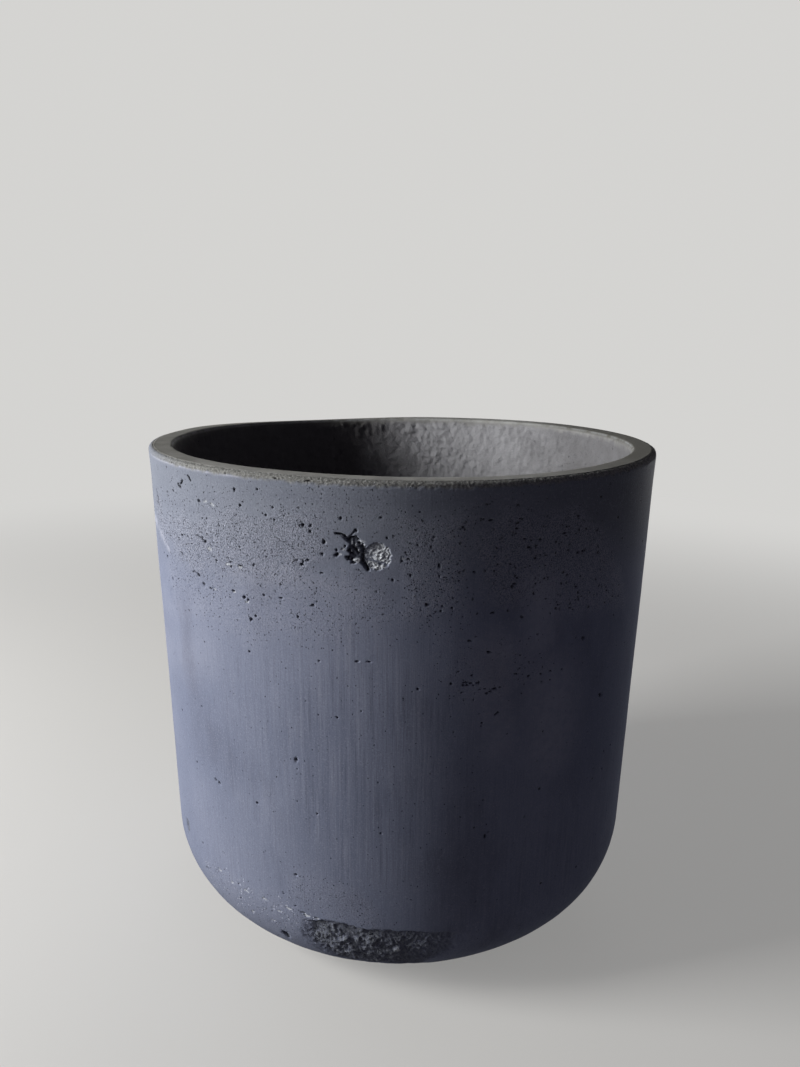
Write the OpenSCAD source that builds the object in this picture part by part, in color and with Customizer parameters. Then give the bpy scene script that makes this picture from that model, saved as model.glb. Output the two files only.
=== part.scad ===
// A round floor planter laid up by hand inside a mould, standing on four pads, with a plug in its drain hole.
// Three coats make the pot: a coloured face coat, a glass fibre mat and a thick backing wall.
// Millimetres. +Z is up, the origin is on the floor under the middle of the pot, and -Y is the front.

/* [Pot] */
// Outside diameter at the rim
rim_d = 400; // [300:5:560]
// Height from the floor to the top of the rim
pot_h = 382; // [280:1:560]
// Lean of the outside wall from upright, in degrees
wall_lean = 1.3; // [0:0.1:5]
// Radius of the outside corner between the wall and the underside
corner_r = 71; // [45:1:90]
// Width of the rim, from the outside of the wall to the cavity
rim_w = 18; // [14:0.5:26]
// Radius of the rounded outer edge of the rim
rim_round_r = 3; // [1:0.25:3.25]
// Radius of the rounded inner edge of the rim
lip_round_r = 2; // [0.5:0.25:4]

/* [Cavity] */
// Lean of the cavity wall from upright, in degrees
cavity_lean = 0.7; // [0:0.1:3]
// Radius of the corner between the cavity wall and its floor
cavity_corner_r = 55; // [35:1:75]
// Thickness of the base, from the underside to the cavity floor
base_t = 18; // [12:0.5:30]

/* [Coats] */
// Thickness of the coloured face coat
coat_t = 3.5; // [3.25:0.25:5]
// Thickness of the glass fibre mat
mat_t = 1; // [0.5:0.25:2]
// Backing between the mat's edges and the rim above them or the drain hole below
mat_cover = 12; // [6:0.5:30]

/* [Drain] */
// Diameter of the drain hole
hole_d = 24; // [16:1:36]
// Gap all round between the plug's stem and the drain hole
plug_gap = 0.4; // [0.2:0.1:1]
// Gap between the plug's head and the cavity floor
plug_seat_gap = 0.2; // [0.1:0.1:0.5]
// How far the plug's head reaches past the drain hole on each side
plug_overlap = 8; // [4:0.5:16]
// Thickness of the plug's head at its edge
plug_head_t = 3.5; // [2:0.5:6]
// Height of the dome on top of the plug's head
plug_dome_h = 2.5; // [1:0.5:5]
// Diameter of the grip on top of the plug
grip_d = 15; // [10:0.5:24]
// Height of the grip above the dome
grip_h = 9; // [6:0.5:16]
// How far the stem narrows towards its tip, on each side
stem_taper = 0.8; // [0:0.1:1.5]
// How far the tip of the stem stops above the underside
stem_short = 2; // [0:0.5:6]

/* [Pads] */
// Diameter of each pad under the base
pad_d = 30; // [16:1:40]
// Thickness of each pad
pad_t = 3; // [1.5:0.5:6]
// Radius of the circle through the middles of the pads
pad_ring_r = 84; // [50:1:90]
// Radius of the rounded lower edge of each pad
pad_edge_r = 0.6; // [0.2:0.1:1]

/* [Chip] */
// Angle of the chip round the pot from the front, positive to the right, in degrees
chip_turn = -8.6; // [-60:0.1:60]
// Depth of the chip's middle below the top of the rim
chip_drop = 44; // [30:0.5:120]
// Radius of the deep hollow at the left of the chip
hollow_r = 6; // [3:0.25:9]
// Height between the two ends of the deep hollow
hollow_rise = 9; // [0:0.5:14]
// Width of the shallow scar at the right of the chip
scar_w = 17; // [8:0.5:24]
// Depth of the shallow scar
scar_depth = 3; // [1:0.25:3]

/* [Broken corner] */
// Angle of the broken patch round the pot from the front, in degrees
break_turn = -5; // [-60:0.5:60]
// Half of the angle that the middles of the flakes spread over
break_spread = 11; // [0:0.5:20]
// How far the upper flakes lie round the corner below the wall, in degrees
break_fall = 24; // [15:1:40]
// How far the lower flakes lie below the upper ones, in degrees
break_step = 27; // [10:1:35]
// Depth of the deepest flake
break_depth = 3; // [1:0.1:3]

/* [Hidden] */
$fn = 128;
arc_steps = 20;
small_arc_steps = 6;
underside_z = pad_t;
floor_z = underside_z + base_t;
rim_r = rim_d / 2;
hole_r = hole_d / 2;
// Radius where the mat starts under the base, and height where it ends below the rim
mat_start = hole_r + mat_cover;
mat_end = pot_h - mat_cover;
pad_count = 4;
first_pad_turn = 45;
// Room past a surface for a cut to run clear of it
cut_room = 20;

// The half outline of a bowl is [radius at the rim, height of its foot, lean of its wall, corner radius].
outside = [rim_r, underside_z, wall_lean, corner_r];
cavity = [rim_r - rim_w, floor_z, cavity_lean, cavity_corner_r];

// Height of the middle of a bowl's corner, and its distance from the axis
function corner_z(bowl) = bowl[1] + bowl[3];
function corner_x(bowl) =
    let (lean = bowl[2], r = bowl[3], tangent_z = corner_z(bowl) - r * sin(lean))
    bowl[0] - (pot_h - tangent_z) * tan(lean) - r * cos(lean);

// Radius of a bowl's wall at height z, moved inwards by inset
function wall_x(bowl, inset, z) = bowl[0] - inset / cos(bowl[2]) - (pot_h - z) * tan(bowl[2]);

// Points on an arc from angle a to angle b, without the first point
function arc(x, z, r, a, b, steps) =
    [for (i = [1 : steps]) let (t = a + (b - a) * i / steps) [x + r * cos(t), z + r * sin(t)]];

// A bowl's outline moved inwards by inset, from radius start_r under the foot up to height end_z
function outline(bowl, inset, start_r, end_z) = concat(
    [[start_r, bowl[1] + inset], [corner_x(bowl), bowl[1] + inset]],
    arc(corner_x(bowl), corner_z(bowl), bowl[3] - inset, -90, -bowl[2], arc_steps),
    [[wall_x(bowl, inset, end_z), end_z]]
);

function reversed(points) = [for (i = [len(points) - 1 : -1 : 0]) points[i]];

// Moves its children from the front face of the pot's axis to an angle round it
module turned(angle) {
    rotate([0, 0, angle - 90]) children();
}

// The chip: a deep upright hollow on the left and a shallow round scar on the right
module chip_cut() {
    z = pot_h - chip_drop;
    wall_r = wall_x(outside, 0, z);
    // A ball this large sinks to the scar's depth over the scar's width
    scar_r = (pow(scar_w / 2, 2) + pow(scar_depth, 2)) / (2 * scar_depth);
    scar_turn = (hollow_r + scar_w / 2) / wall_r * 180 / PI;
    turned(chip_turn) for (side = [-1, 1])
        translate([wall_r, 0, z + side * hollow_rise / 2]) sphere(r = hollow_r);
    turned(chip_turn + scar_turn)
        translate([wall_r + scar_r - scar_depth, 0, z - hollow_r / 2]) sphere(r = scar_r);
}

// One flat flake struck off the rounded corner, depth deep and fall degrees below the wall
module flake_cut(angle, fall, depth) {
    turned(angle)
        translate([corner_x(outside), 0, corner_z(outside)])
        rotate([0, fall, 0])
        translate([corner_r - depth, -corner_r, -corner_r])
        cube([depth + cut_room, 2 * corner_r, 2 * corner_r]);
}

// The broken patch at the front of the corner: three flakes above two
module broken_corner_cut() {
    for (side = [-1, 0, 1])
        flake_cut(break_turn + side * break_spread, break_fall, break_depth * (1 - side * side / 8));
    for (side = [-1, 1])
        flake_cut(break_turn + side * break_spread / 2, break_fall + break_step, break_depth);
}

// The smooth coloured coat that was laid in the mould first, over the wall, the corner and the underside
module face_coat() color([0.36, 0.37, 0.43]) {
    rounding = arc(rim_r - rim_round_r, pot_h - rim_round_r, rim_round_r, 0, 90, small_arc_steps);
    difference() {
        rotate_extrude() polygon(concat(
            outline(outside, 0, hole_r, pot_h - rim_round_r),
            rounding,
            // The back of the coat has corners where the mat ends, so that the two meet exactly
            [[wall_x(outside, coat_t, pot_h), pot_h]],
            reversed(outline(outside, coat_t, hole_r, mat_end))
        ));
        chip_cut();
        broken_corner_cut();
    }
}

// The glass fibre mat, pressed into the back of the face coat and buried on every side
module fibre_mat() color([0.80, 0.79, 0.72]) {
    difference() {
        rotate_extrude() polygon(concat(
            outline(outside, coat_t, mat_start, mat_end),
            reversed(outline(outside, coat_t + mat_t, mat_start, mat_end))
        ));
        chip_cut();
    }
}

// The thick wall and base behind the mat, with the trowelled rim and the rough cavity
module backing_wall() color([0.47, 0.47, 0.45]) {
    lip = arc(rim_r - rim_w + lip_round_r, pot_h - lip_round_r, lip_round_r, 90, 180, small_arc_steps);
    difference() {
        rotate_extrude() polygon(concat(
            [[hole_r, underside_z + coat_t], [mat_start, underside_z + coat_t]],
            outline(outside, coat_t + mat_t, mat_start, mat_end),
            [[wall_x(outside, coat_t, mat_end), mat_end], [wall_x(outside, coat_t, pot_h), pot_h]],
            [[rim_r - rim_w + lip_round_r, pot_h]],
            lip,
            reversed(outline(cavity, 0, hole_r, pot_h - lip_round_r))
        ));
        chip_cut();
    }
}

// The rubber plug: a tapered stem in the drain hole, a domed head on the cavity floor and a waisted grip
module drain_plug() color([0.10, 0.10, 0.11]) {
    stem_r = hole_r - plug_gap;
    head_r = hole_r + plug_overlap;
    head_z = floor_z + plug_seat_gap;
    dome_z = head_z + plug_head_t;
    grip_r = grip_d / 2;
    waist_r = grip_r * 0.62;
    grip_z = dome_z + plug_dome_h;
    edge_r = plug_head_t * 0.4;
    // Points from the edge of the head up over the dome to the waist of the grip
    dome = [for (i = [0 : arc_steps / 2]) let (t = i / (arc_steps / 2))
        [head_r + (waist_r - head_r) * t, dome_z + plug_dome_h * sin(90 * t)]];
    rotate_extrude() polygon(concat(
        [[0, underside_z + stem_short], [stem_r - stem_taper, underside_z + stem_short], [stem_r, head_z]],
        [[head_r - edge_r, head_z]],
        arc(head_r - edge_r, head_z + edge_r, edge_r, -90, 0, small_arc_steps),
        dome,
        [[waist_r, grip_z + grip_h * 0.3], [grip_r, grip_z + grip_h * 0.55]],
        arc(grip_r - grip_h * 0.2, grip_z + grip_h * 0.8, grip_h * 0.2, 0, 90, small_arc_steps),
        [[0, grip_z + grip_h]]
    ));
}

// A round pad stuck under the base, number 1 to pad_count
module foot_pad(number) color([0.16, 0.15, 0.14]) {
    turned(first_pad_turn + (number - 1) * 360 / pad_count)
        translate([pad_ring_r, 0, 0])
        rotate_extrude() polygon(concat(
            [[0, 0], [pad_d / 2 - pad_edge_r, 0]],
            arc(pad_d / 2 - pad_edge_r, pad_edge_r, pad_edge_r, -90, 0, small_arc_steps),
            [[pad_d / 2, pad_t], [0, pad_t]]
        ));
}

face_coat();
fibre_mat();
backing_wall();
drain_plug();
foot_pad(1);  // foot_pad_1
foot_pad(2);  // foot_pad_2
foot_pad(3);  // foot_pad_3
foot_pad(4);  // foot_pad_4
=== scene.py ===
"""A round floor planter with a coloured face coat, a trowelled rim and a rough laid-up cavity."""
import math
from collections import namedtuple
from functools import partial
from itertools import product

import bpy
import numpy as np
from mathutils import Matrix, Vector


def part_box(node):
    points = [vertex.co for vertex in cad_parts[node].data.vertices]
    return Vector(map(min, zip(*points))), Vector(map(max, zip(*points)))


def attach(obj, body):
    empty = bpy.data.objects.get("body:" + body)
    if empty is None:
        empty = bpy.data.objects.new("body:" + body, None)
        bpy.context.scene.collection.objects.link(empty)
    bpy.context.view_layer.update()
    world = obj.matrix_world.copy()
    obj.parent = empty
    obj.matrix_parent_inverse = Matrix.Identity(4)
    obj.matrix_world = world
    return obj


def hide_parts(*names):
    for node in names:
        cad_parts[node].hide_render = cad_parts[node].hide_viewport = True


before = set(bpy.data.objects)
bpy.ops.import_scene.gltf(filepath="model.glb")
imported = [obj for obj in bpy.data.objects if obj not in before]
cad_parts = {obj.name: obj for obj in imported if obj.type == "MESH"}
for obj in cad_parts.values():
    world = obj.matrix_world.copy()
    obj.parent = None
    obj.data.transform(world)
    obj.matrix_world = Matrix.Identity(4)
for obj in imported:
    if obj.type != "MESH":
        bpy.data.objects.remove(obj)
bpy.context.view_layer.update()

MM = 0.001

# Sizes of the pot in millimetres. Heights come from the frame, the rest repeats the part's own dimensions.
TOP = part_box("backing_wall")[1][2] / MM
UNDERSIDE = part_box("face_coat")[0][2] / MM
RIM_R = 200.0
WALL_LEAN = 1.3
CORNER_R = 71.0
RIM_W = 18.0
RIM_ROUND_R = 3.0
LIP_ROUND_R = 2.0
CAVITY_LEAN = 0.7
CAVITY_CORNER_R = 55.0
BASE_T = 18.0
COAT_T = 3.5
MAT_T = 1.0
MAT_COVER = 12.0
HOLE_R = 12.0
FLOOR = UNDERSIDE + BASE_T

# The photograph's frame in pixels, and the camera that took it: heights and distances from the rim's middle
PHOTO_W = 800
PHOTO_H = 1067
FOCAL_PX = 800.0
CAMERA_BACK = 657.7
CAMERA_UP = 80.3
CAMERA_PITCH = 0.2407
CAMERA_YAW = -0.002
CAMERA_ROLL = 0.0099
SENSOR = 36.0
CLIP_START = 0.02


# Camera

def camera_axes():
    """The camera's right, up and forward directions."""
    cy, sy = math.cos(CAMERA_YAW), math.sin(CAMERA_YAW)
    cp, sp = math.cos(CAMERA_PITCH), math.sin(CAMERA_PITCH)
    cr, sr = math.cos(CAMERA_ROLL), math.sin(CAMERA_ROLL)
    right = np.array([cy, -sy, 0.0])
    up = np.array([sy * sp, cy * sp, cp])
    forward = np.array([sy * cp, cy * cp, -sp])
    return cr * right + sr * up, cr * up - sr * right, forward


CAMERA_PLACE = np.array([0.0, -CAMERA_BACK, TOP + CAMERA_UP])


def add_camera():
    """The photograph's camera, at its own place and focal length."""
    right, up, forward = camera_axes()
    data = bpy.data.cameras.new("camera")
    data.sensor_width = SENSOR
    data.lens = FOCAL_PX / PHOTO_H * SENSOR
    data.clip_start = CLIP_START
    camera = bpy.data.objects.new("camera", data)
    bpy.context.collection.objects.link(camera)
    turn = Matrix((right, up, -forward)).transposed().to_4x4()
    camera.matrix_world = Matrix.Translation(Vector(CAMERA_PLACE * MM)) @ turn
    bpy.context.scene.camera = camera


# Outlines of the coats: closed loops in the plane of radius and height

def wall_x(r_top, lean, inset, z):
    """Radius at height z of a leaning wall moved inwards by inset."""
    lean = math.radians(lean)
    return r_top - inset / math.cos(lean) - (TOP - z) * math.tan(lean)


def corner_middle(r_top, foot, lean, radius):
    """Radius and height of the middle of the rounded corner between a wall and its foot."""
    lean = math.radians(lean)
    z = foot + radius
    tangent_z = z - radius * math.sin(lean)
    return r_top - (TOP - tangent_z) * math.tan(lean) - radius * math.cos(lean), z


OUTER_MIDDLE = corner_middle(RIM_R, UNDERSIDE, WALL_LEAN, CORNER_R)
CAVITY_R = RIM_R - RIM_W
CAVITY_MIDDLE = corner_middle(CAVITY_R, FLOOR, CAVITY_LEAN, CAVITY_CORNER_R)


def arc_end(middle, radius, angle):
    a = math.radians(angle)
    return middle[0] + radius * math.cos(a), middle[1] + radius * math.sin(a)


# A stretch of an outline: its first row and the one past its last, where it starts and ends along the outline,
# its length, and the function of its points
Stretch = namedtuple("Stretch", "first last start end length place")


class Outline:
    """A closed outline made of straight and round stretches, each with its number of rows of cells.

    The solid lies to the right of the way that the outline runs."""

    def __init__(self, point, *stretches):
        """Each stretch: name, rows, and the end of a line or the middle, radius and two angles of an arc."""
        self.point = point
        self.rows = 0
        self.marks = {}
        start = 0.0
        for name, rows, *shape in stretches:
            length, place = self.line(*shape) if len(shape) == 1 else self.arc(*shape)
            self.marks[name] = Stretch(self.rows, self.rows + rows, start, start + length, length, place)
            self.rows += rows
            start += length

    def line(self, end):
        (r0, z0), (r1, z1) = self.point, end
        length = math.hypot(r1 - r0, z1 - z0)
        normal = (-(z1 - z0) / length, (r1 - r0) / length)
        self.point = end

        def place(t):
            return r0 + (r1 - r0) * t, z0 + (z1 - z0) * t, *normal
        return length, place

    def arc(self, middle, radius, a0, a1):
        side = 1 if a1 < a0 else -1
        self.point = arc_end(middle, radius, a1)

        def place(t):
            a = np.radians(a0 + (a1 - a0) * t)
            x, y = np.cos(a), np.sin(a)
            return middle[0] + radius * x, middle[1] + radius * y, side * x, side * y
        return abs(math.radians(a1 - a0)) * radius, place

    def at(self, rows):
        """Radius, height, normal and distance along the outline at rows."""
        out = np.zeros((5, len(rows)))
        for mark in self.marks.values():
            here = (rows >= mark.first) & (rows < mark.last)
            t = (rows[here] - mark.first) / (mark.last - mark.first)
            for k, numbers in enumerate((*mark.place(t), mark.start + t * mark.length)):
                out[k, here] = numbers
        return out

    def row_at(self, name, distance):
        """The row at a distance along the outline inside a named stretch, or past its ends."""
        mark = self.marks[name]
        return mark.first + (distance - mark.start) / (mark.end - mark.start) * (mark.last - mark.first)


def coat_outline():
    """The face coat: its land on the rim, rounded edge, wall, corner and underside, then its back."""
    inner_top = (wall_x(RIM_R, WALL_LEAN, COAT_T, TOP), TOP)
    round_middle = (RIM_R - RIM_ROUND_R, TOP - RIM_ROUND_R)
    return Outline(
        inner_top,
        ("land", 1, (round_middle[0], TOP)),
        ("round", 1, round_middle, RIM_ROUND_R, 90, -WALL_LEAN),
        ("wall", 48, arc_end(OUTER_MIDDLE, CORNER_R, -WALL_LEAN)),
        ("corner", 18, OUTER_MIDDLE, CORNER_R, -WALL_LEAN, -90),
        ("under", 7, (HOLE_R, UNDERSIDE)),
        ("hole", 1, (HOLE_R, UNDERSIDE + COAT_T)),
        ("back_under", 3, (OUTER_MIDDLE[0], UNDERSIDE + COAT_T)),
        ("back_corner", 7, OUTER_MIDDLE, CORNER_R - COAT_T, -90, -WALL_LEAN),
        ("back_wall", 12, inner_top))


def wall_outline():
    """The backing wall: its lip, flat rim and back, stepped round the mat, then its hole, floor and cavity."""
    mat_start = HOLE_R + MAT_COVER
    mat_end = TOP - MAT_COVER
    bed = UNDERSIDE + COAT_T
    back_r = CORNER_R - COAT_T - MAT_T
    lip_z = TOP - LIP_ROUND_R
    cavity_top = (wall_x(CAVITY_R, CAVITY_LEAN, 0, lip_z), lip_z)
    return Outline(
        cavity_top,
        ("lip", 1, (CAVITY_R + LIP_ROUND_R, lip_z), LIP_ROUND_R, 180, 90),
        ("rim", 3, (wall_x(RIM_R, WALL_LEAN, COAT_T, TOP), TOP)),
        ("outer_top", 1, (wall_x(RIM_R, WALL_LEAN, COAT_T, mat_end), mat_end)),
        ("step", 1, (wall_x(RIM_R, WALL_LEAN, COAT_T + MAT_T, mat_end), mat_end)),
        ("outer_wall", 12, arc_end(OUTER_MIDDLE, back_r, -WALL_LEAN)),
        ("outer_corner", 7, OUTER_MIDDLE, back_r, -WALL_LEAN, -90),
        ("bed", 3, (mat_start, bed + MAT_T)),
        ("bed_step", 1, (mat_start, bed)),
        ("bed_middle", 1, (HOLE_R, bed)),
        ("hole", 3, (HOLE_R, FLOOR)),
        ("floor", 11, (CAVITY_MIDDLE[0], FLOOR)),
        ("cavity_corner", 13, CAVITY_MIDDLE, CAVITY_CORNER_R, -90, -CAVITY_LEAN),
        ("cavity", 46, cavity_top))


# Places on the pot: azimuth 0 faces the camera and grows to the right, depths are measured inwards

def turn_between(a, b):
    """The angle from b to a the short way round."""
    return (a - b + math.pi) % (2 * math.pi) - math.pi


def outside_radius(z):
    """Radius of the pot's outside at heights z, and 0 above and below it."""
    lean = math.radians(WALL_LEAN)
    wall = RIM_R - (TOP - z) * math.tan(lean)
    down = np.clip((OUTER_MIDDLE[1] - z) / CORNER_R, 0.0, 1.0)
    corner = OUTER_MIDDLE[0] + CORNER_R * np.sqrt(1.0 - down * down)
    radius = np.where(z > OUTER_MIDDLE[1] - CORNER_R * math.sin(lean), wall, corner)
    return np.where((z < UNDERSIDE) | (z > TOP), 0.0, radius)


def photo_rays(points):
    """Directions of the rays that pixels of the photograph look along."""
    right, up, forward = camera_axes()
    pixels = np.asarray(points, float)[:, :2] - [PHOTO_W / 2, PHOTO_H / 2]
    return forward + (pixels[:, :1] * right - pixels[:, 1:] * up) / FOCAL_PX


# Distances from the camera between which a ray is followed, and the number of steps
RAY_NEAR = CAMERA_BACK - 1.3 * RIM_R
RAY_FAR = CAMERA_BACK + 0.4 * RIM_R
RAY_STEPS = 900


def from_photo(points):
    """Azimuth in radians and height of the points of the outside that show at pixels of the photograph."""
    rays = photo_rays(points)
    # Past the silhouette a ray meets nothing, and takes the place where it comes closest to the pot
    depths = np.linspace(RAY_NEAR, RAY_FAR, RAY_STEPS)
    places = CAMERA_PLACE + rays[:, None, :] * depths[None, :, None]
    gap = np.hypot(places[..., 0], places[..., 1]) - outside_radius(places[..., 2])
    hit = np.where((gap < 0).any(1), (gap < 0).argmax(1), gap.argmin(1))
    place = places[np.arange(len(rays)), hit]
    return np.arctan2(place[:, 0], -place[:, 1]), place[:, 2]


def rim_from_photo(points):
    """Places on the plane of the rim that show at pixels of the photograph."""
    rays = photo_rays(points)
    return (CAMERA_PLACE + rays * ((TOP - CAMERA_PLACE[2]) / rays[:, 2:]))[:, :2]


# Where the rim was cut low: azimuth and half width in degrees, drop at its outer and at its inner edge
RIM_DIPS = [(-148, 42, 3.2, 1.4), (180, 55, 1.6, 1.6), (22, 50, 1.3, 1.3)]
RIM_DIP_REACH = 60.0


def rim_drop(azimuth, r, z):
    """How far places near the rim are lowered, because it was cut by eye."""
    outwards = np.clip((r - RIM_R + RIM_W) / RIM_W, 0, 1)
    total = np.zeros(len(azimuth))
    for middle, half, outer, inner in RIM_DIPS:
        reach = np.abs(turn_between(azimuth, math.radians(middle))) / math.radians(half)
        total += np.clip(1 - reach ** 2, 0, 1) ** 2 * (inner + (outer - inner) * outwards)
    return total * ramp(z, TOP - RIM_DIP_REACH, TOP)


def distance_down(outline, z):
    """Distance along the coat's outline at heights z of its wall and corner."""
    wall = outline.marks["wall"]
    lean = math.radians(WALL_LEAN)
    along = wall.start + (TOP - RIM_ROUND_R - z) / math.cos(lean)
    down = np.clip((OUTER_MIDDLE[1] - z) / CORNER_R, -1.0, 1.0)
    return np.where(along < wall.end, along, wall.end + (np.arcsin(down) - lean) * CORNER_R)


# Noise. The number that follows a lump's size, or the number of layers, is the seed.

def hashed(cells, seed):
    """A repeatable whole number for each cell of a lattice."""
    mixed = cells[..., 0] * 73856093 ^ cells[..., 1] * 19349663 ^ cells[..., 2] * 83492791 ^ seed * 6971
    mixed = (mixed ^ (mixed >> 13)) * 1274126177 & 0x7FFFFFFF
    return mixed ^ (mixed >> 16)


def noise(points, cell, seed=0):
    """Smooth noise from about -1 to 1 whose lumps are cell millimetres across."""
    scaled = points / cell
    base = np.floor(scaled).astype(np.int64)
    part = scaled - base
    fade = part ** 3 * (part * (part * 6 - 15) + 10)
    total = np.zeros(len(points))
    for corner in product((0, 1), repeat=3):
        number = hashed(base + np.array(corner), seed)
        turn = (number & 1023) / 1023 * 2 * math.pi
        rise = (number >> 10 & 1023) / 1023 * 2 - 1
        flat = np.sqrt(1 - rise * rise)
        slope = np.stack([flat * np.cos(turn), flat * np.sin(turn), rise], 1)
        weight = np.prod(np.where(corner, fade, 1 - fade), axis=1)
        total += ((part - corner) * slope).sum(1) * weight
    return total * 1.7


def layered(points, cell, octaves, seed=0, keep=0.5):
    """Noise with finer layers on top of the first, each keep times as strong as the one before."""
    return sum(keep ** k * noise(points, cell / 2 ** k, seed + k) for k in range(octaves))


def ramp(x, low, high):
    """0 below low, 1 above high and smooth between them."""
    t = np.clip((x - low) / (high - low), 0.0, 1.0)
    return t * t * (3 - 2 * t)


# Meshes whose cells are finer where there is more to show

LEVELS = 4
COLUMNS = 192
# The dressed pot ends this far below the top of its solid
TOP_INSET = 0.02
# No mark goes deeper into the face coat than this
MARK_DEPTH = COAT_T - 0.25


class Shell:
    """A closed ring of cells round an outline. A cell may be split in four, up to LEVELS times."""

    def __init__(self, outline):
        self.outline = outline
        self.split = [np.zeros((COLUMNS << k, outline.rows << k), bool) for k in range(LEVELS)]

    def refine(self, level, azimuth, row, half_angle, half_rows):
        """Splits the cells of an oval patch down to a level."""
        for k in range(level):
            across = COLUMNS << k
            x0, x1 = [a / (2 * math.pi) * across for a in (azimuth - half_angle, azimuth + half_angle)]
            y0, y1 = (row - half_rows) * 2 ** k, (row + half_rows) * 2 ** k
            x = np.arange(math.floor(x0), math.floor(x1) + 1)
            y = np.arange(max(math.floor(y0), 0), min(math.floor(y1) + 1, self.outline.rows << k))
            dx = np.maximum(np.abs(x + 0.5 - (x0 + x1) / 2) - 0.5, 0) / ((x1 - x0) / 2)
            dy = np.maximum(np.abs(y + 0.5 - (y0 + y1) / 2) - 0.5, 0) / ((y1 - y0) / 2)
            self.split[k][np.ix_(x % across, y)] |= dx[:, None] ** 2 + dy[None, :] ** 2 < 1

    def refine_band(self, level, rows, azimuths=(-math.pi, math.pi)):
        """Splits all the cells between two rows and two azimuths down to a level."""
        for k in range(level):
            across = COLUMNS << k
            x0, x1 = [a / (2 * math.pi) * across for a in azimuths]
            x = np.arange(math.floor(x0), math.ceil(x1)) % across
            self.split[k][x, int(rows[0] * 2 ** k):math.ceil(rows[1] * 2 ** k)] = True

    def balance(self):
        """Splits more cells, so that neighbours differ by one level at most."""
        for k in range(LEVELS - 1, 0, -1):
            fine = self.split[k]
            wide = fine.copy()
            for step in product((-1, 0, 1), repeat=2):
                wide |= np.roll(fine, step, (0, 1))
            n, m = self.split[k - 1].shape
            self.split[k - 1] |= wide.reshape(n, 2, m, 2).any((1, 3))

    def faces(self):
        """Azimuths and rows of the lattice points used, and the quads and triangles between them."""
        self.balance()
        width, height = COLUMNS << LEVELS, self.outline.rows << LEVELS
        quads, triangles = [], []
        for k in range(LEVELS + 1):
            exists = self.split[k - 1].repeat(2, 0).repeat(2, 1) if k else ~np.zeros_like(self.split[0])
            split = self.split[k] if k < LEVELS else np.zeros_like(exists)
            x, y = np.nonzero(exists & ~split)
            size = 1 << (LEVELS - k)
            half = size // 2
            n, m = exists.shape

            def point(dx, dy):
                return (x * size + dx) % width * height + (y * size + dy) % height

            # Sides and corners go round the cell: left, far, right, near
            beside = [split[(x - 1) % n, y], split[x, (y + 1) % m],
                      split[(x + 1) % n, y], split[x, (y - 1) % m]]
            whole = ~np.any(beside, axis=0)
            corners = [point(0, 0), point(0, size), point(size, size), point(size, 0)]
            quads.append(np.stack([corner[whole] for corner in corners], 1))
            if k == LEVELS:
                continue
            middle = point(half, half)
            mids = [point(0, half), point(half, size), point(size, half), point(half, 0)]
            for side, hung in enumerate(beside):
                a, b, mid = corners[side], corners[(side + 1) % 4], mids[side]
                plain = ~whole & ~hung
                for start, end, kept in ((a, b, plain), (a, mid, hung), (mid, b, hung)):
                    triangles.append(np.stack([start[kept], end[kept], middle[kept]], 1))
        quads, triangles = np.concatenate(quads), np.concatenate(triangles)
        keys, flat = np.unique(np.concatenate([quads.ravel(), triangles.ravel()]), return_inverse=True)
        quads, triangles = flat[:quads.size].reshape(-1, 4), flat[quads.size:].reshape(-1, 3)
        azimuth = turn_between((keys // height) / width * 2 * math.pi, 0)
        return azimuth, (keys % height) / 2 ** LEVELS, quads, triangles


def shell_mesh(name, shell, shape):
    """An object on a shell: shape(places) gives each vertex its depth and its named values."""
    azimuth, row, quads, triangles = shell.faces()
    r, z, nr, nz, s = shell.outline.at(row)
    round_x, round_y = np.sin(azimuth), -np.cos(azimuth)
    points = np.stack([r * round_x, r * round_y, z], 1)
    normals = np.stack([nr * round_x, nr * round_y, nz], 1)
    depth, values = shape(azimuth, row, s, points, shell.outline)
    points -= normals * depth[:, None]
    points[:, 2] -= rim_drop(azimuth, r, z) + TOP_INSET
    mesh = bpy.data.meshes.new(name)
    mesh.from_pydata((points * MM).tolist(), [], quads.tolist() + triangles.tolist())
    for key, value in values.items():
        layer = mesh.attributes.new(key, "FLOAT", "POINT")
        layer.data.foreach_set("value", np.clip(value, 0, 1).astype(np.float32))
    mesh.shade_smooth()
    mesh.update()
    piece = bpy.data.objects.new(name, mesh)
    bpy.context.collection.objects.link(piece)
    return piece


# What has happened to the face coat. Places are pixels of the photograph, sizes are millimetres.

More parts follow.
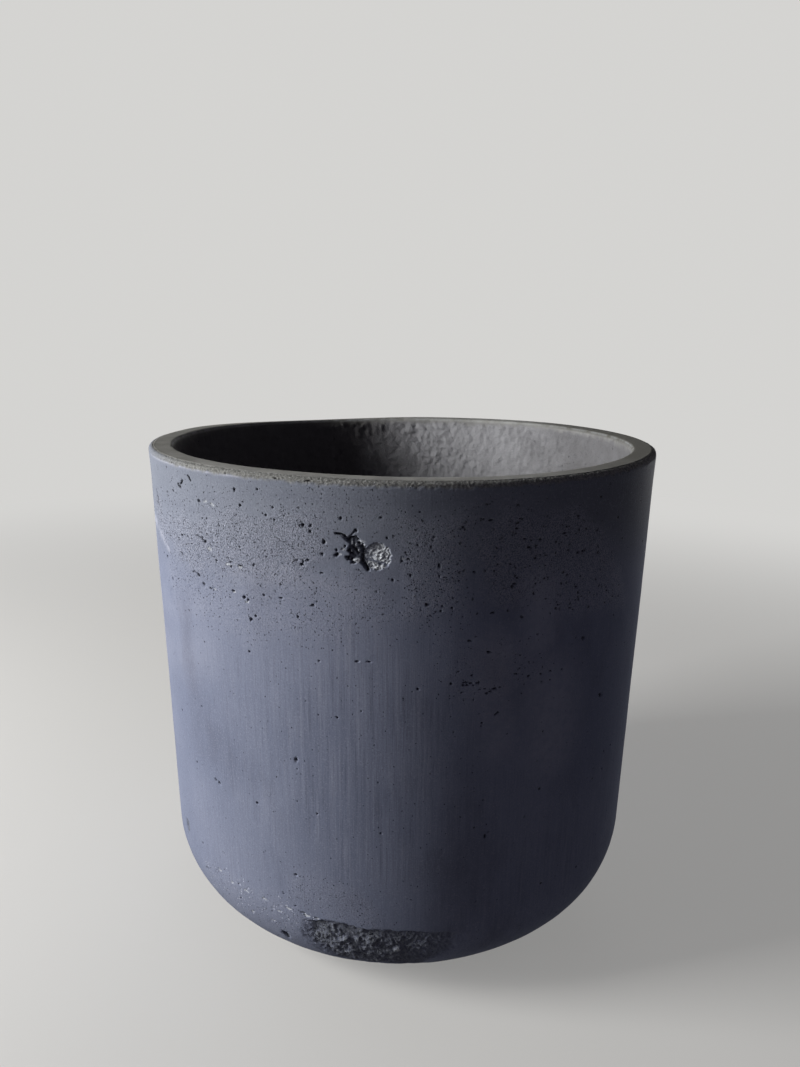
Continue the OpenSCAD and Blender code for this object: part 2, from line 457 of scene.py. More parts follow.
# Air holes and nicks: x, y, width and height
PITS = [
    (156, 490.5, 4, 3), (156.6, 493.5, 4, 3), (157, 497, 5, 4), (157.8, 501, 5, 4), (158.4, 504.5, 4, 3.5),
    (166.3, 467, 1.7, 1.8), (171, 462, 2, 1.4), (224.5, 473, 2, 1.2), (275, 478, 3.6, 1.3),
    (158, 499, 3.6, 5.9), (161, 487.5, 1.8, 2.2), (167, 492, 1.8, 2.2),
    (168, 495, 1.8, 2.2), (173, 490.5, 1.8, 2.5), (182, 535, 2, 1.7), (198.5, 500.5, 2.2, 2.2),
    (202, 538, 1.3, 3.6), (234, 489.5, 2, 3.6), (257, 489, 1.8, 1.8), (265.5, 515, 1.8, 1.8),
    (272.5, 507.5, 1.8, 1.8), (274, 520, 2.3, 1.4), (303, 525, 2.3, 2.3), (308, 480.5, 4, 1.4),
    (310, 531, 1.6, 2.3), (310.5, 525, 2, 2.3), (341, 518, 2, 2.2), (355.8, 530, 2, 2.3),
    (381, 516.5, 2.3, 1.5), (491.5, 519, 4.9, 1.4), (567.5, 526, 2.3, 1.4), (579, 515, 2.7, 1.4),
    (598, 530, 2.7, 1.6), (167, 556, 3.1, 2), (172.5, 578.5, 3.1, 2.2), (182, 553, 2, 1.7),
    (198.5, 575, 4.1, 2.7), (203.5, 584, 2.7, 3.1), (205, 541.5, 3.2, 2.3), (210.5, 588.5, 2.9, 1.4),
    (216, 560.5, 2.5, 1.6), (230, 562, 2.2, 1.6), (233, 591, 3.2, 2.2), (240, 566, 3.4, 1.8),
    (244, 597.5, 2.7, 2.2), (263.5, 595, 1.8, 1.8), (281, 598, 3.1, 1.3), (296.5, 560.5, 2.3, 1.8),
    (302, 564.5, 3.2, 1.8), (303, 562, 1.3, 2.2), (308, 560, 2.5, 1.7), (322, 554, 2.9, 1.4),
    (322, 573, 2.7, 1.2), (323.5, 541, 1.6, 3.1), (324, 542, 2.3, 3.2), (336.5, 550, 2, 2.3),
    (337, 554.5, 2.9, 3.1), (345, 546, 1.8, 2.2), (392.7, 580, 2.3, 1.5), (402, 561, 2.2, 1.3),
    (408.8, 559, 2.9, 1.4), (410.7, 575.3, 2, 2), (431.3, 546.7, 1.3, 3.1), (439.3, 565, 2, 2.5),
    (439.5, 576, 1.6, 2), (530, 547, 3.8, 1.8), (248, 600, 2.7, 1.8), (249, 651.5, 1.8, 1.8),
    (251, 619.5, 2.3, 2.5), (255.5, 616, 2, 2), (298, 616.5, 1.3, 2.2), (312.5, 605.5, 3.1, 1.5),
    (313, 605, 2.2, 1.3), (427, 605, 3, 2), (470, 641, 3.6, 1.4), (489, 652, 3.6, 1.7),
    (493, 613, 4.2, 1.7), (538, 634, 2, 1.4), (571, 608, 3.6, 1.4), (584, 638, 3.8, 2.6),
    (182, 710, 2.7, 2), (201.5, 706.5, 2, 1.6), (319, 661, 1.8, 1.4), (357, 661.5, 3.2, 1.4),
    (369.5, 662, 3.1, 1.3), (418, 689, 2.2, 1.6), (451, 683.5, 2.3, 1.6), (462, 692.7, 2, 1.5),
    (463.5, 685.2, 2.5, 1.5), (466, 682.8, 5.4, 1.6), (467, 685.3, 2.9, 1.5), (471, 683.2, 2.7, 1.9),
    (472.3, 675.3, 2.5, 1.2), (473.6, 685.4, 2.3, 1.1), (476.8, 683.4, 2.2, 1.5), (479, 682.6, 1.8, 2.3),
    (479.8, 689.6, 2.3, 1), (485, 688.6, 3.1, 1), (487, 693.1, 3.8, 1.3), (490.5, 691.6, 3.1, 1.1),
    (494.6, 688.8, 4.6, 1.9), (500, 687.4, 2.2, 1.2), (517, 674, 2.2, 1.4), (529, 676, 2.9, 1.5),
    (541, 674, 2.3, 1.4), (551, 671, 2.7, 1.4), (562, 669, 2.2, 1.3), (601, 695, 5.5, 4.2),
    (197, 762, 2.2, 1.6), (296, 760, 2.7, 3.1), (481, 726.3, 2.2, 1.2), (482, 722.8, 2, 1.3),
    (507.5, 734, 1.8, 1.4), (602, 769, 2.2, 1.6), (610.5, 745, 2.2, 1.6), (215.5, 780, 3.4, 2.7),
    (219, 783.5, 2.9, 2.7), (257, 803, 2.3, 2.3), (381, 833.5, 2, 1.4), (485, 836, 1.8, 3.4),
    (202.5, 843, 2.2, 2.2), (207, 868, 2.3, 1.8), (208.3, 868.5, 2, 1.6), (238.5, 884, 1.8, 1.6),
    (296, 875, 2.2, 2), (576.5, 867, 2.9, 2.2), (295.6, 906, 2.2, 1.4),
]
# How deep a pit is for its size, and the deepest
PIT_SINK = 0.66
PIT_DEEPEST = 2
# A pit smaller than this needs the finest cells
SMALL_PIT = 2.5

# Thin cracks: the pixels that they run through, their width and their depth
CRACKS = [
    ([(336, 533.2), (340.5, 533.4), (344.5, 535.5), (348.5, 539), (352, 542)], 1.7, 1.7),
    ([(341, 535.6), (344.5, 538.5), (347.5, 541.5)], 0.9, 0.7),
    ([(355.8, 529.5), (352, 534), (347.7, 537.7)], 1.1, 0.9),
    ([(187.6, 475.6), (190.2, 480)], 2, 1.6),
    ([(182, 480.5), (180.5, 483.5)], 2.2, 1.5),
    ([(178, 484.5), (180, 487)], 2.4, 1.6),
    ([(495, 714.8), (498, 712.5)], 1.5, 1.3),
    ([(197.5, 535), (201, 538), (205, 541.5)], 1, 1),
    ([(199.5, 576), (196, 572.5), (193.5, 571)], 1, 1),
]
# How far from a crack's middle its vertices are looked for
CRACK_REACH = 30

PORE_SEED = 7
# Zones of small air holes: left, top, right and bottom pixel, how many, their smallest and largest width,
# and how high they are for their width
PORE_ZONES = [
    (156, 500, 215, 580, 8, 1.2, 1.9, 0.9),
    (205, 505, 300, 575, 12, 1.2, 1.9, 0.9),
    (215, 560, 330, 625, 6, 1.2, 1.9, 0.8),
    (300, 505, 400, 600, 6, 1.1, 1.8, 0.8),
    (400, 505, 500, 620, 24, 1.3, 2.4, 0.7),
    (505, 515, 600, 610, 42, 1.6, 3, 0.6),
    (440, 620, 560, 720, 14, 1.2, 2.2, 0.55),
    (190, 620, 420, 860, 8, 1.1, 1.7, 0.8),
    (420, 720, 600, 900, 5, 1.1, 1.7, 0.8),
    (205, 866, 300, 925, 8, 1.2, 1.9, 0.7),
]

# Where the skin is stippled by fine pores: corners of each zone in pixels, and strength
STIPPLE = [
    ([(157, 508), (207, 508), (265, 510), (300, 512), (330, 533), (330, 560), (294, 575), (247, 572),
      (196, 565), (165, 549)], 1),
    ([(165, 560), (300, 572), (400, 560), (405, 620), (330, 650), (250, 640), (175, 600)], 0.45),
    ([(165, 475), (400, 492), (400, 530), (160, 515)], 0.30),
    ([(400, 510), (470, 515), (474, 560), (468, 610), (400, 620)], 0.7),
    ([(478, 540), (510, 508), (585, 508), (618, 545), (622, 600), (575, 616), (500, 610), (476, 580)], 0.85),
    ([(440, 625), (520, 640), (560, 660), (540, 690), (470, 700), (440, 670)], 0.35),
    ([(200, 860), (222, 868), (245, 884), (268, 896), (290, 905), (320, 921), (327, 945), (336, 962),
      (297, 950), (262, 933), (232, 912), (208, 885)], 0.35),
    ([(282, 870), (330, 880), (372, 900), (380, 922), (330, 916), (292, 900)], 0.4),
]

# Where pale flecks of the body show through the skin, in the same way
FLECKED = [
    ([(204, 862), (222, 864), (246, 880), (270, 894), (300, 906), (322, 918), (326, 934), (300, 930),
      (262, 921), (236, 904), (214, 884)], 1),
    ([(205, 500), (216, 500), (240, 560), (248, 570), (214, 570), (202, 548)], 0.35),
]

# Where the upright brush strokes show most, in the same way
STROKED = [
    ([(330, 606), (372, 606), (420, 640), (432, 700), (430, 780), (410, 870), (330, 880), (300, 780),
      (316, 680)], 1),
    ([(230, 640), (316, 650), (300, 780), (330, 880), (260, 860), (215, 780), (210, 690)], 0.4),
]

# Smears of pale wash, light scratches, and wide pale patches of painted light on the shaded right side: the
# pixels that each runs through, its width and its strength
SMEARS_AND_PAINTED_LIGHT = [
    ([(236, 574), (262, 575), (290, 578), (315, 583), (340, 590), (362, 598)], 24, 0.16),
    ([(282, 577), (310, 581), (332, 588)], 10, 0.24),
    # Light painted on the shaded right side
    ([(541, 590), (542, 612), (540, 636)], 50, 0.55),
    ([(550, 692), (552, 712), (550, 742)], 90, 0.60),
    ([(498, 655), (494, 700), (502, 740)], 60, 0.45),
    ([(525, 790), (535, 810), (530, 830)], 60, 0.14),
    ([(160, 640), (180, 655), (205, 650)], 60, 0.18),
    ([(160, 600), (185, 612), (200, 606)], 30, 0.15),
    ([(467, 659), (500, 657), (530, 654), (562, 653)], 2.6, 0.14),
    ([(553, 753.5), (557, 750.5), (560, 748)], 1.6, 0.9),
    ([(154, 512), (158, 526), (163, 538), (168.5, 548.5)], 7, 1),
]

# The chip: the outline of its deep ragged hollow in pixels, and how deep that is
HOLLOW = [
    (343.2, 537.6), (347.2, 536.6), (352.2, 535.8), (357.6, 536.8), (362.1, 540.4), (364.4, 544),
    (367, 545.8), (365.2, 550.3), (364.6, 556.6), (366, 562), (369.4, 567.4), (370, 571), (365.7, 570.4),
    (362.1, 564.8), (358.5, 563), (354, 563.9), (349.5, 561.4), (345.4, 558.6), (346.2, 555.4), (351.2, 555),
    (348.5, 552.6), (347.4, 548.3), (350.3, 544), (347.2, 541.3),
]
HOLLOW_MIDDLE = (357, 553)
HOLLOW_SIZE = (20, 29)
HOLLOW_DEPTH = 1.9
# Deep channels round its floor: the pixels that each runs through, and its width
CHANNELS = [
    ([(348, 539.5), (351, 537), (355, 536.4), (358, 538.5)], 2.6),
    ([(349, 549.5), (349.6, 552), (352.3, 554.4)], 2),
    ([(346.5, 557), (349, 559.2), (352, 560)], 2.6),
    ([(351.5, 563), (355, 562)], 1.5),
    ([(358.5, 543.5), (362, 546), (363.4, 550), (362.6, 556), (362, 562)], 3),
    ([(364.8, 564.5), (366.6, 566.8), (367.6, 569.5)], 2.8),
    ([(353.6, 547), (356, 551.5), (359.5, 554)], 1.6),
]
CHANNEL_DEPTH = 1.5
# Lumps left standing in it, painted pale as highlights: x, y, width, height, and height above its floor
HOLLOW_LUMPS = [
    (361.5, 541.2, 5.6, 1.9, 1.6), (356.4, 545, 2, 1.8, 1.4), (360.2, 544.6, 1.6, 1.6, 1.2),
    (364.2, 545.4, 1.8, 1.8, 1.3), (357.6, 560.4, 4.4, 3.6, 1.8), (353.6, 560.6, 2.2, 2.2, 1.4),
    (351.2, 550.8, 1.7, 1.7, 1), (358.6, 550.8, 1.7, 1.7, 1), (351.8, 543, 1.6, 2.8, 1.2),
    (349.3, 558.9, 1.2, 1.2, 1.2),
]
# The shallow scar of the piece that came out with it: x, y, width, height, and depth at its left and right
SCAR = (377.4, 556.6, 17.2, 17.6, 2.7, 0.9)
# Which way the scar is streaked, as the slope of its ridges
SCAR_SLOPE = -0.75

# The broken patch: its crisp upper edge from left to right, then its right and its left side
BREAK_EDGE = [
    (310, 921), (318.4, 920), (328, 921.2), (338, 922.6), (349.6, 925), (357, 928), (364, 929.6),
    (385.6, 930.3), (400, 931.4), (414.4, 932), (431, 932.6), (448, 932.2), (462, 933),
]
BREAK_RIGHT = [(460, 938), (455, 946), (448, 953), (434, 960)]
BREAK_LEFT = [(322, 950), (306, 936)]
# How far it runs on under the pot, and how far its soft sides reach past its upper edge
BREAK_UNDER = 18
BREAK_ABOVE = 12
BREAK_DEPTH = 2.4
# Where its coarse flakes give way to fine grains
BREAK_FINE = (404, 945)
# Round lumps left standing in it: x, y, width, height, and height above its floor
BREAK_LUMPS = [
    (397.5, 951, 8, 7, 2.6), (372, 946, 9, 8, 1.4), (345, 941, 8, 7, 1.3), (352, 954, 9, 8, 1.4),
    (425, 946, 13, 9, 1), (334, 948, 9, 8, 1.2),
]

# Crumbs where the coat is worn: x, y, width and height
WORN = [
    (220, 870.5, 5, 1.8), (232, 882.6, 5, 2.4), (246, 891, 5.6, 1.8), (264, 899, 6, 1.8),
    (252.5, 912, 4, 2.4), (279, 911.5, 4, 1.8), (289, 909, 5, 2), (306.5, 916, 8.5, 1.9),
    (316.5, 918.5, 4, 1.8), (273, 921, 4, 2), (212, 505, 4.4, 3), (205, 501.5, 4, 1.8),
    (209, 548.5, 4.6, 3.2), (227, 564, 5, 1.8), (239, 567, 5, 2), (214.5, 589, 2.8, 1.4),
    (233.5, 592, 3.4, 2), (246, 602, 3, 1.6), (325, 542, 1.8, 1.8), (403, 558.5, 2.6, 1.5),
    (408.5, 559, 2.4, 1.4), (343, 549, 2.6, 2), (339, 554, 2.4, 1.6),
]
WORN_DEPTH = 0.75
# Bigger knocks: two notches in the corner and a scrape on the left silhouette, with their depth
KNOCKS = [(303.4, 913.3, 3.8, 1.6, 1.8), (286, 935, 7, 9, 2.2), (188, 825, 9, 13, 1.2)]

# Azimuths between which the photograph shows the rounded edge of the rim
SHOWN_EDGE = (-1.55, 1.3)

# Wear on the sides that the photograph doesn't show: how many air holes, how far round from the back,
# their least and their added drop below the rim, their least and their added width
BACK_PITS = 60
BACK_SPREAD = 1.75
BACK_DROP = (18, 260)
BACK_WIDTH = (1, 2.2)
# Knocks there: azimuth, height, width, height and depth
BACK_KNOCKS = [(2.1, 300, 9, 6, 2.6), (-2.45, 96, 12, 7, 2.4), (1.55, 352, 6, 4, 1.8)]

# The zones that colour the coat: what they are, and how soft their edges are
ZONES = {"stipple": (STIPPLE, 11), "strokes": (STROKED, 18), "flecks": (FLECKED, 5)}
COAT_VALUES = ("pit", "pale", "rough", "rim", "stipple", "strokes", "flecks", "wash")


def spread_pits():
    """The small air holes: azimuth, height, width and height of the hole of each."""
    rng = np.random.default_rng(PORE_SEED)
    pits = []
    for left, top, right, bottom, count, low, high, flat in PORE_ZONES:
        azimuth, z = from_photo(rng.uniform((left, top), (right, bottom), (count, 2)))
        width = low + (high - low) * rng.random(count) ** 2
        pits += list(zip(azimuth, z, width, width * flat * rng.uniform(0.75, 1.25, count)))
    azimuth = turn_between(math.pi + rng.uniform(-BACK_SPREAD, BACK_SPREAD, BACK_PITS), 0)
    drop = BACK_DROP[0] + BACK_DROP[1] * rng.random(BACK_PITS) ** 2.2
    width = BACK_WIDTH[0] + BACK_WIDTH[1] * rng.random(BACK_PITS) ** 3
    return pits + list(zip(azimuth, TOP - drop, width, width * rng.uniform(0.5, 1.1, BACK_PITS)))


def placed(features):
    """Features given by pixels, as azimuth and height in place of the pixel."""
    azimuth, z = from_photo([f[:2] for f in features])
    return [(a, h) + tuple(f[2:]) for a, h, f in zip(azimuth, z, features)]


def apart(x, y, line):
    """How far points are from a line that runs through corners."""
    best = np.full(len(x), 1e9)
    for (x0, y0), (x1, y1) in zip(line, line[1:]):
        dx, dy = x1 - x0, y1 - y0
        t = np.clip(((x - x0) * dx + (y - y0) * dy) / (dx * dx + dy * dy), 0, 1)
        best = np.minimum(best, np.hypot(x - x0 - t * dx, y - y0 - t * dy))
    return best


def inside_by(x, y, corners):
    """How far points lie inside a shape with corners, negative outside it."""
    loop = corners + corners[:1]
    inside = np.zeros(len(x), bool)
    for (x0, y0), (x1, y1) in zip(loop, loop[1:]):
        inside ^= ((y0 > y) != (y1 > y)) & (x < x0 + (y - y0) * (x1 - x0) / (y1 - y0 or 1e-9))
    return np.where(inside, 1, -1) * apart(x, y, loop)


def near_line(x, s, line, width):
    """1 on a line that runs through unrolled points, falling softly to 0 at half its width."""
    return ramp(1 - apart(x, s, line) / (width / 2), 0, 1)


def coat_shell(outline, features):
    """Cells of the face coat, fine round its pits and cracks, its chip, its broken patch and its edge."""
    shell = Shell(outline)
    wall, edge = outline.marks["wall"], outline.marks["round"]
    wall_row = (wall.end - wall.start) / (wall.last - wall.first)

    def finer(level, room, azimuth, z, width, height, *_):
        row = outline.row_at("wall", float(distance_down(outline, z)))
        shell.refine(level, azimuth, row, (width / 2 + room) / RIM_R, (height / 2 + room) / wall_row)

    for pit in features["pits"]:
        finer(4 if min(pit[2:4]) < SMALL_PIT else 3, 0, *pit)
    for points, width, _ in features["cracks"]:
        for (a0, z0), (a1, z1) in zip(points, points[1:]):
            for t in np.linspace(0, 1, 5):
                finer(4, 0.4, a0 + (a1 - a0) * t, z0 + (z1 - z0) * t, width, width)
    for kind, level, room in (("chip", 4, 1.5), ("knocks", 3, 1.5), ("worn", 4, 0)):
        for mark in features[kind]:
            finer(level, room, *mark)
    across = [x / RIM_R for x, s in features["broken"]["outline"]]
    rows = [outline.row_at("wall", s) for x, s in features["broken"]["outline"]]
    shell.refine(3, (min(across) + max(across)) / 2, (min(rows) + max(rows)) / 2,
                 (max(across) - min(across)) * 0.52, (max(rows) - min(rows)) * 0.5)
    shell.refine_band(3, (edge.first, edge.last + 0.5), SHOWN_EDGE)
    shell.refine_band(2, (edge.first, edge.last + 0.3))
    return shell


def bowl(skin, pit, left=2.8, right=1.5):
    """The vertices near a pit, its depth there, steeper at its left, and their place across it."""
    azimuth, s, r, outline, rough = skin
    a, z, width, height, depth = pit
    s0 = float(distance_down(outline, z))
    near = np.nonzero((np.abs(s - s0) < height) & (np.abs(turn_between(azimuth, a)) * r < width))[0]
    across = turn_between(azimuth[near], a) * r[near] / (width / 2)
    along = (s[near] - s0) / (height / 2)
    reach = np.clip(np.hypot(across, along) * (1 + 0.4 * rough[near]), 0, 1)
    steep = left + (right - left) * ramp(across, -0.6, 0.8)
    return near, depth * (1 - reach ** steep), across


def crack_depth(skin, points, width, depth):
    """The vertices near a crack that runs through points, and its depth there."""
    azimuth, s, r, outline, rough = skin
    angles, z = np.array(points, float).T
    downs = distance_down(outline, z)
    beside = np.abs(turn_between(azimuth, angles.mean())) < CRACK_REACH / RIM_R
    near = np.nonzero((np.abs(s - downs.mean()) < CRACK_REACH) & beside)[0]
    best = np.full(len(near), 1e9)
    for a0, a1, s0, s1 in zip(angles, angles[1:], downs, downs[1:]):
        away = np.stack([turn_between(azimuth[near], a0) * r[near], s[near] - s0], 1)
        step = np.array([(a1 - a0) * RIM_R, s1 - s0])
        t = np.clip(away @ step / (step @ step), 0, 1)
        best = np.minimum(best, np.linalg.norm(away - t[:, None] * step, axis=1))
    reach = best / (width / 2) * (1 + 0.35 * rough[near])
    return near, depth * np.clip(1 - reach, 0, 1) ** 0.7


def streaked(x, s, slope, along, across, seed):
    """Noise drawn out along a slope: its lumps are along millimetres long and across millimetres wide."""
    c, d = math.cos(slope), math.sin(slope)
    return noise(np.stack([(x * c + s * d) / along, (s * c - x * d) / across, np.zeros(len(x))], 1), 1.0, seed)


def chip_depth(x, s, points, chip):
    """Depth of the chip, how pale it is in the scar and on its lumps, which carry painted highlights, and how
    much shade is painted in the hollow.
    """
    middle_x, middle_s, width, height, deep, shallow = chip["scar"]
    across, down = (x - middle_x) / (width / 2), (s - middle_s) / (height / 2)
    reach = np.hypot(across, down) + 0.10 * noise(points, 3.2, 31) + 0.07 * noise(points, 1.3, 32)
    inside = ramp(1 - reach, 0, 0.09)
    scar = deep + (shallow - deep) * ramp(across, -0.9, 0.8)
    scar += 0.75 * streaked(x, s, SCAR_SLOPE, 3.4, 1.15, 33)
    scar += 0.5 * noise(points, 1.7, 34) + 0.3 * noise(points, 0.9, 40)
    # A ledge along its lower edge, under a step; shade is painted at the step and in the scar's deepest part,
    # which are left less pale
    ledge = down - 0.28 * across + 0.08 * noise(points, 2, 35)
    step = ramp(ledge, 0.30, 0.42) * (1 - ramp(ledge, 0.50, 0.58))
    scar += 1.3 * step - 0.8 * ramp(ledge, 0.52, 0.60)
    scar = inside * np.clip(scar, 0.2, MARK_DEPTH)
    pale = inside * (1 - 0.8 * step) * (1 - 0.6 * ramp(scar, 1.9, 2.7))
    inside = inside_by(x, s, chip["hollow"]) + 0.4 * noise(points, 1.7, 36)
    hollow = ramp(inside, -0.2, 0.7) * (HOLLOW_DEPTH + 0.5 * noise(points, 2, 37) + 0.35 * noise(points, 1, 38))
    # Shade painted in the hollow and, darker, in its channels
    hollow_shade = 0.62 * ramp(hollow, 0.7, 1.5)
    for line, width in chip["channels"]:
        near = near_line(x + 0.9 * noise(points, 1.5, 48), s + 0.9 * noise(points, 1.5, 49), line, width)
        hollow += CHANNEL_DEPTH * near * (inside > -1.5)
        hollow_shade = np.maximum(hollow_shade, ramp(near, 0.15, 0.7))
    lit = np.zeros(len(x))
    # The lumps are painted pale as highlights, and the shade is left off them
    for lump_x, lump_s, width, height, rise in chip["lumps"]:
        near = np.hypot((x - lump_x) / (width / 2), (s - lump_s) / (height / 2)) + 0.2 * noise(points, 1.5, 39)
        near = ramp(1.15 - near, 0, 0.6)
        hollow -= rise * near * (hollow > 0.6)
        lit = np.maximum(lit, near)
    depth = np.maximum(scar, np.clip(hollow, 0, MARK_DEPTH))
    return depth, np.maximum(pale * (1 - hollow_shade), 0.8 * lit), hollow_shade * (1 - lit)


def broken_depth(x, s, points, broken):
    """Depth of the broken patch, how far the coat is gone there and how pale it is, with highlights painted on
    its lumps.
    """
    edge_x, edge_s = zip(*broken["edge"])
    grain_x = broken["fine_from"]
    below = s - np.interp(x, edge_x, edge_s) + 0.8 * noise(points, 3.4, 41) + 0.3 * noise(points, 1.5, 46)
    inside = inside_by(x, s, broken["outline"]) + 3 * layered(points, 9, 3, 42)
    side = ramp(inside, -6, 8)
    amount = ramp(below, 0, 1.2) * side
    # Coarse flakes at the left and in the middle, streaked there, and fine grains at the right, where it fades
    right = ramp(x, grain_x - 10, grain_x + 14)
    middle = ramp(1 - np.abs(x - grain_x + 24) / 45, 0, 0.6)
    streaks = 0.7 * streaked(x, s, -0.7, 12, 4.2, 43) * middle
    coarse = (0.45 + 0.35 * middle) * layered(points, 5.2, 3, 44, 0.7) * (1 - 0.7 * right) + streaks
    fine = 0.65 * layered(points, 2.4, 2, 45, 0.8)
    fading = ramp(x, grain_x - 6, edge_x[-1] - 2)
    depth = (BREAK_DEPTH * (1 - 0.5 * ramp(below, 3, 32)) + coarse) * (1 - 0.6 * fading) + fine
    pale = np.zeros(len(x))
    for lump_x, lump_s, width, height, rise in broken["lumps"]:
        near = np.hypot((x - lump_x) / (width / 2), (s - lump_s) / (height / 2)) + 0.25 * noise(points, 3, 47)
        lump = rise * ramp(1 - near, 0, 0.7)
        depth -= lump
        # Lumps that stand out are painted pale as highlights
        pale = np.maximum(pale, ramp(lump, 1.5, 2.3) * 0.5)
    pale = np.maximum(pale, 0.14 * ramp(-fine - 0.5 * coarse, 0.45, 1) * ramp(below, 3, 9))
    gone = amount * ramp(side, 0.3, 1) * (1 - 0.5 * fading)
    return amount * np.clip(depth, 0.1, MARK_DEPTH), gone, amount * pale


def rim_edge(azimuth, row, points, outline, outer):
    """Where the rim's edge is worn and how deep, how bare it is, and a highlight painted as a pale line below
    it at the front left.
    """
    first, last = outline.marks["round"][:2]
    end = last + (0.32 + 0.16 * noise(points, 5, 52) + 0.10 * noise(points, 1.6, 53))
    edge = ramp(row, first - 1, first + 0.15) * (1 - ramp(row, end - 0.3, end)) * outer
    # It is smooth at the left and granular from the front round to the back
    worn = np.clip(ramp(azimuth, -1.35, -0.7) + ramp(-azimuth, 1.5, 1.9), 0, 1)
    near = np.nonzero(edge > 0)[0]
    crumb = np.abs(layered(points[near], 1.6, 2, 51, 0.8))
    crumbs = edge[near] * worn[near] * np.clip(0.25 + 0.75 * crumb, 0, 1.1)
    bare = (1 - ramp(row, end - 0.4, end)) * outer * np.maximum(worn, 1 - ramp(row, first - 0.2, first + 0.5))
    # A highlight painted as a pale line below the edge, at the front left only
    painted_highlight = ramp(row, last - 0.02, last + 0.08) * (1 - ramp(row, last + 0.18, last + 0.28))
    painted_highlight *= ramp(azimuth, -1.25, -1) * (1 - ramp(azimuth, -0.6, -0.4)) * outer
    return near, crumbs, bare, painted_highlight


def coat_shape(features, azimuth, row, s, points, outline):
    """How deep each vertex of the face coat is carved, and its named values."""
    x = azimuth * RIM_R
    outer = row < outline.marks["under"].last
    o = np.nonzero(outer)[0]
    ragged, grain, carved = np.zeros((3, len(x)))
    ragged[o] = layered(points[o], 1.7, 2, 11, 0.7)
    grain[o] = noise(points[o], 0.9, 21)
    values = {key: np.zeros(len(x)) for key in COAT_VALUES}
    skin = (azimuth, s, np.hypot(points[:, 0], points[:, 1]), outline, ragged)

    def carve(near, depth, **painted):
        carved[near] = np.maximum(carved[near], depth)
        for key, value in painted.items():
            values[key][near] = np.maximum(values[key][near], value)

    for pit in features["pits"]:
        near, depth, across = bowl(skin, pit)
        # Shade painted in the pit, left off its right wall on pits that face the window
        lit = 0.85 * ramp(across, 0.1, 0.55) * (1 - ramp(azimuth[near], 0, 0.45))
        carve(near, depth, pit=ramp(depth / pit[4], 0.3, 0.7) * (1 - lit))
    for crack in features["cracks"]:
        near, depth = crack_depth(skin, *crack)
        # Shade painted in the crack
        carve(near, depth, pit=ramp(depth, 0.2, 0.9))
    for knock in features["knocks"]:
        near, depth, _ = bowl(skin, knock, 3, 3)
        depth = np.maximum(depth + (depth > 0.2) * 0.3 * grain[near], 0)
        carve(near, depth, rough=ramp(depth, 0.1, 0.6))
    for crumb in features["worn"]:
        near, depth, _ = bowl(skin, crumb, 3, 3)
        depth *= np.clip(0.7 + 0.9 * grain[near], 0, 1)
        carve(near, depth, pale=0.8 * ramp(depth, 0.08, 0.35))

    chip_azimuth, chip_z = features["chip"][0][:2]
    beside = (np.abs(turn_between(azimuth, chip_azimuth)) < 0.16) & (np.abs(points[:, 2] - chip_z) < 30)
    near = np.nonzero(beside & outer)[0]
    depth, pale, hollow_shade = chip_depth(x[near], s[near], points[near], features["chip_shape"])
    carve(near, depth, pale=pale)
    # Shade painted in the chip's hollow
    values["pit"][near] = np.where(depth > 0.5, hollow_shade, values["pit"][near])
    near = np.nonzero((np.abs(azimuth) < 0.75) & outer & (row > outline.marks["wall"].last - 4))[0]
    depth, gone, pale = broken_depth(x[near], s[near], points[near], features["broken"])
    carve(near, depth, rough=gone, pale=pale)
    near, crumbs, bare, painted_highlight = rim_edge(azimuth, row, points, outline, outer)
    carve(near, crumbs)
    carve(slice(None), 0, rim=bare, wash=painted_highlight)

    # Slow waviness of the whole coat, from the mould
    edge, corner = outline.marks["round"], outline.marks["corner"]
    calm = ramp(row, edge.first, edge.last + 3) * (1 - ramp(row, corner.last - 3, corner.last))
    wave = 0.3 + 0.3 * noise(points, 75, 61) + 0.12 * noise(points, 22, 62)
    depth = np.minimum(0.08 + calm * np.clip(wave, 0, 1) + carved, MARK_DEPTH) * outer

    for key, (zones, softness) in features["zones"].items():
        carve(o, 0, **{key: zones_amount(x[o], s[o], points[o], zones, softness)})
    # The back has stippled zones of its own below the rim
    hidden = ramp(np.abs(azimuth[o]), 1.2, 1.5) * ramp(points[o, 2], TOP - 220, TOP - 130)
    carve(o, 0, stipple=0.8 * hidden * ramp(noise(points[o], 70, 74), 0, 0.4))
    # Pale smears and scratches, and light painted on the shaded right side
    for line, width, strength in features["smears_and_painted_light"]:
        carve(o, 0, wash=strength * near_line(x[o], s[o], line, width))
    return depth, values


def zones_amount(x, s, points, zones, softness):
    """How strong the named zones are at places of the coat, with ragged soft edges."""
    ragged = softness * layered(points, softness * 3, 3, 73)
    total = np.zeros(len(x))
    for corners, strength in zones:
        total = np.maximum(total, strength * ramp(inside_by(x, s, corners) + ragged, -softness, softness))
    return total


